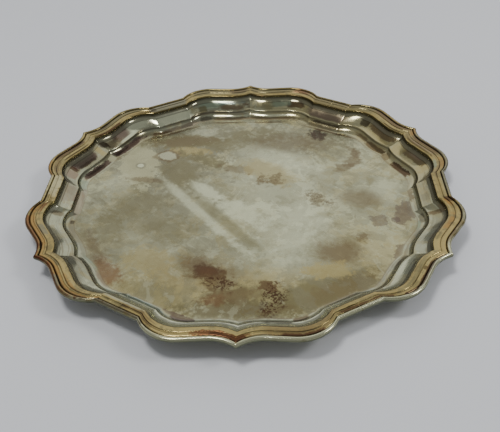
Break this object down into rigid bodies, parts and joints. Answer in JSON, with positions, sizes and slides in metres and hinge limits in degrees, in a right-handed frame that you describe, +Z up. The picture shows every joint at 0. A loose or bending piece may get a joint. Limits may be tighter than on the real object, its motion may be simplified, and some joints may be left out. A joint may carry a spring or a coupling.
{
  "type": "salver",
  "caption": "Round silver-plated serving salver with a bracketed, cusped border moulding, two-step hollow wall and flat well",
  "frame": {"origin": "centre of the underside, on the surface that the salver stands on", "axes": "+Z is up out of the well; -Y and +Y each pass through a cusp of the border"},
  "size_m": [0.2968, 0.305, 0.016],
  "materials": {
    "plate": "tarnished silver plate, softly mirrored",
    "border": "tarnished cast silver, brown in the grooves",
    "solder": "dull tarnished solder"
  },
  "bodies": {
    "root": {"plate": "plate", "border_section_1": "border", "border_section_2": "border", "border_section_3": "border", "border_section_4": "border", "border_section_5": "border", "border_section_6": "border", "border_solder": "solder", "butt_solder": "solder"}
  },
  "joints": []
}
